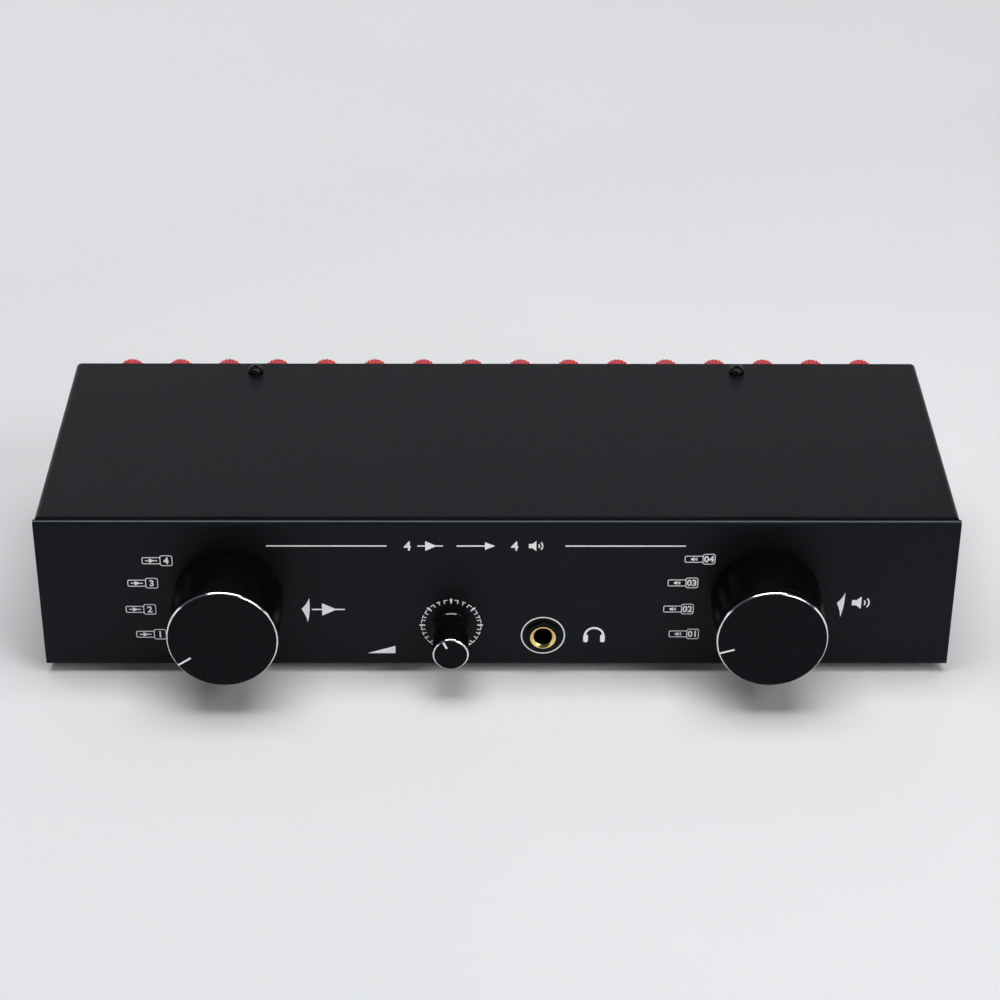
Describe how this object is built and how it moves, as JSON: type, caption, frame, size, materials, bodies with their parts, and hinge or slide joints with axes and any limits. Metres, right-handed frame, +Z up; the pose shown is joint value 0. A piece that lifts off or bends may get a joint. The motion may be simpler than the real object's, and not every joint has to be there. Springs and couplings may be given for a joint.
{
  "type": "speaker selector switch",
  "caption": "Low black steel box with two large rotary selectors, a headphone volume knob and jack in front, and two rows of screw-cap binding posts at the rear.",
  "frame": {"origin": "centre of the whole object's footprint, on the surface that its feet rest on", "axes": "+X to the right of someone facing the front panel, +Y from the front panel towards the binding posts, +Z up"},
  "size_m": [0.31, 0.1536, 0.0643],
  "materials": {
    "case_paint": "fine textured black powder coat, satin",
    "knob_black": "black anodised turned aluminium with bright cut face edge",
    "black_screw": "black pan head screws",
    "steel": "turned steel",
    "plated_steel": "zinc plated",
    "phenolic": "paper phenolic",
    "gold_plate": "gold plated brass, polished",
    "red_plastic": "red moulded plastic with ribbed grips",
    "black_plastic": "black moulded plastic",
    "rubber": "moulded rubber bumpers",
    "board": "glass fibre circuit board with green mask",
    "ribbon_grey": "grey flat cable"
  },
  "bodies": {
    "case": {"black_post_collars": "black_plastic", "chassis_tray": "case_paint", "control_nuts": "plated_steel", "cover_screws": "black_screw", "input_switch_housing": "plated_steel", "jack_body": "black_plastic", "jack_bush": "gold_plate", "jack_nut": "black_plastic", "output_switch_housing": "plated_steel", "post_studs": "gold_plate", "red_post_collars": "red_plastic", "rubber_feet": "rubber", "switch_wafers": "phenolic", "terminal_board": "board", "top_cover": "case_paint", "volume_pot_body": "plated_steel", "wiring_ribbons": "ribbon_grey"},
    "input_selector": {"input_knob": "knob_black", "input_knob_grub_screw": "steel", "input_switch_shaft": "steel", "input_switch_rotor": "phenolic"},
    "output_selector": {"output_knob": "knob_black", "output_knob_grub_screw": "steel", "output_switch_shaft": "steel", "output_switch_rotor": "phenolic"},
    "volume_control": {"volume_knob": "knob_black", "volume_pot_shaft": "steel"},
    "red_screw_cap_01": {"red_cap_01": "red_plastic"},
    "red_screw_cap_02": {"red_cap_02": "red_plastic"},
    "red_screw_cap_03": {"red_cap_03": "red_plastic"},
    "red_screw_cap_04": {"red_cap_04": "red_plastic"},
    "red_screw_cap_05": {"red_cap_05": "red_plastic"},
    "red_screw_cap_06": {"red_cap_06": "red_plastic"},
    "red_screw_cap_07": {"red_cap_07": "red_plastic"},
    "red_screw_cap_08": {"red_cap_08": "red_plastic"},
    "red_screw_cap_09": {"red_cap_09": "red_plastic"},
    "red_screw_cap_10": {"red_cap_10": "red_plastic"},
    "red_screw_cap_11": {"red_cap_11": "red_plastic"},
    "red_screw_cap_12": {"red_cap_12": "red_plastic"},
    "red_screw_cap_13": {"red_cap_13": "red_plastic"},
    "red_screw_cap_14": {"red_cap_14": "red_plastic"},
    "red_screw_cap_15": {"red_cap_15": "red_plastic"},
    "red_screw_cap_16": {"red_cap_16": "red_plastic"},
    "black_screw_cap_01": {"black_cap_01": "black_plastic"},
    "black_screw_cap_02": {"black_cap_02": "black_plastic"},
    "black_screw_cap_03": {"black_cap_03": "black_plastic"},
    "black_screw_cap_04": {"black_cap_04": "black_plastic"},
    "black_screw_cap_05": {"black_cap_05": "black_plastic"},
    "black_screw_cap_06": {"black_cap_06": "black_plastic"},
    "black_screw_cap_07": {"black_cap_07": "black_plastic"},
    "black_screw_cap_08": {"black_cap_08": "black_plastic"},
    "black_screw_cap_09": {"black_cap_09": "black_plastic"},
    "black_screw_cap_10": {"black_cap_10": "black_plastic"},
    "black_screw_cap_11": {"black_cap_11": "black_plastic"},
    "black_screw_cap_12": {"black_cap_12": "black_plastic"},
    "black_screw_cap_13": {"black_cap_13": "black_plastic"},
    "black_screw_cap_14": {"black_cap_14": "black_plastic"},
    "black_screw_cap_15": {"black_cap_15": "black_plastic"},
    "black_screw_cap_16": {"black_cap_16": "black_plastic"}
  },
  "joints": [
    {"name": "input_selector_turn", "type": "hinge", "parent": "case", "child": "input_selector", "pos_m": [-0.091, -0.06, 0.031], "axis": [0, 1, 0], "range_deg": [0, 90]},
    {"name": "output_selector_turn", "type": "hinge", "parent": "case", "child": "output_selector", "pos_m": [0.091, -0.06, 0.031], "axis": [0, 1, 0], "range_deg": [-30, 60]},
    {"name": "volume_turn", "type": "hinge", "parent": "case", "child": "volume_control", "pos_m": [-0.01565, -0.06, 0.0195], "axis": [0, 1, 0], "range_deg": [-124, 176]},
    {"name": "red_cap_01_back_off", "type": "slide", "parent": "case", "child": "red_screw_cap_01", "axis": [0, 1, 0], "range_m": [0, 0.005]},
    {"name": "red_cap_02_back_off", "type": "slide", "parent": "case", "child": "red_screw_cap_02", "axis": [0, 1, 0], "range_m": [0, 0.005]},
    {"name": "red_cap_03_back_off", "type": "slide", "parent": "case", "child": "red_screw_cap_03", "axis": [0, 1, 0], "range_m": [0, 0.005]},
    {"name": "red_cap_04_back_off", "type": "slide", "parent": "case", "child": "red_screw_cap_04", "axis": [0, 1, 0], "range_m": [0, 0.005]},
    {"name": "red_cap_05_back_off", "type": "slide", "parent": "case", "child": "red_screw_cap_05", "axis": [0, 1, 0], "range_m": [0, 0.005]},
    {"name": "red_cap_06_back_off", "type": "slide", "parent": "case", "child": "red_screw_cap_06", "axis": [0, 1, 0], "range_m": [0, 0.005]},
    {"name": "red_cap_07_back_off", "type": "slide", "parent": "case", "child": "red_screw_cap_07", "axis": [0, 1, 0], "range_m": [0, 0.005]},
    {"name": "red_cap_08_back_off", "type": "slide", "parent": "case", "child": "red_screw_cap_08", "axis": [0, 1, 0], "range_m": [0, 0.005]},
    {"name": "red_cap_09_back_off", "type": "slide", "parent": "case", "child": "red_screw_cap_09", "axis": [0, 1, 0], "range_m": [0, 0.005]},
    {"name": "red_cap_10_back_off", "type": "slide", "parent": "case", "child": "red_screw_cap_10", "axis": [0, 1, 0], "range_m": [0, 0.005]},
    {"name": "red_cap_11_back_off", "type": "slide", "parent": "case", "child": "red_screw_cap_11", "axis": [0, 1, 0], "range_m": [0, 0.005]},
    {"name": "red_cap_12_back_off", "type": "slide", "parent": "case", "child": "red_screw_cap_12", "axis": [0, 1, 0], "range_m": [0, 0.005]},
    {"name": "red_cap_13_back_off", "type": "slide", "parent": "case", "child": "red_screw_cap_13", "axis": [0, 1, 0], "range_m": [0, 0.005]},
    {"name": "red_cap_14_back_off", "type": "slide", "parent": "case", "child": "red_screw_cap_14", "axis": [0, 1, 0], "range_m": [0, 0.005]},
    {"name": "red_cap_15_back_off", "type": "slide", "parent": "case", "child": "red_screw_cap_15", "axis": [0, 1, 0], "range_m": [0, 0.005]},
    {"name": "red_cap_16_back_off", "type": "slide", "parent": "case", "child": "red_screw_cap_16", "axis": [0, 1, 0], "range_m": [0, 0.005]},
    {"name": "black_cap_01_back_off", "type": "slide", "parent": "case", "child": "black_screw_cap_01", "axis": [0, 1, 0], "range_m": [0, 0.005]},
    {"name": "black_cap_02_back_off", "type": "slide", "parent": "case", "child": "black_screw_cap_02", "axis": [0, 1, 0], "range_m": [0, 0.005]},
    {"name": "black_cap_03_back_off", "type": "slide", "parent": "case", "child": "black_screw_cap_03", "axis": [0, 1, 0], "range_m": [0, 0.005]},
    {"name": "black_cap_04_back_off", "type": "slide", "parent": "case", "child": "black_screw_cap_04", "axis": [0, 1, 0], "range_m": [0, 0.005]},
    {"name": "black_cap_05_back_off", "type": "slide", "parent": "case", "child": "black_screw_cap_05", "axis": [0, 1, 0], "range_m": [0, 0.005]},
    {"name": "black_cap_06_back_off", "type": "slide", "parent": "case", "child": "black_screw_cap_06", "axis": [0, 1, 0], "range_m": [0, 0.005]},
    {"name": "black_cap_07_back_off", "type": "slide", "parent": "case", "child": "black_screw_cap_07", "axis": [0, 1, 0], "range_m": [0, 0.005]},
    {"name": "black_cap_08_back_off", "type": "slide", "parent": "case", "child": "black_screw_cap_08", "axis": [0, 1, 0], "range_m": [0, 0.005]},
    {"name": "black_cap_09_back_off", "type": "slide", "parent": "case", "child": "black_screw_cap_09", "axis": [0, 1, 0], "range_m": [0, 0.005]},
    {"name": "black_cap_10_back_off", "type": "slide", "parent": "case", "child": "black_screw_cap_10", "axis": [0, 1, 0], "range_m": [0, 0.005]},
    {"name": "black_cap_11_back_off", "type": "slide", "parent": "case", "child": "black_screw_cap_11", "axis": [0, 1, 0], "range_m": [0, 0.005]},
    {"name": "black_cap_12_back_off", "type": "slide", "parent": "case", "child": "black_screw_cap_12", "axis": [0, 1, 0], "range_m": [0, 0.005]},
    {"name": "black_cap_13_back_off", "type": "slide", "parent": "case", "child": "black_screw_cap_13", "axis": [0, 1, 0], "range_m": [0, 0.005]},
    {"name": "black_cap_14_back_off", "type": "slide", "parent": "case", "child": "black_screw_cap_14", "axis": [0, 1, 0], "range_m": [0, 0.005]},
    {"name": "black_cap_15_back_off", "type": "slide", "parent": "case", "child": "black_screw_cap_15", "axis": [0, 1, 0], "range_m": [0, 0.005]},
    {"name": "black_cap_16_back_off", "type": "slide", "parent": "case", "child": "black_screw_cap_16", "axis": [0, 1, 0], "range_m": [0, 0.005]}
  ]
}
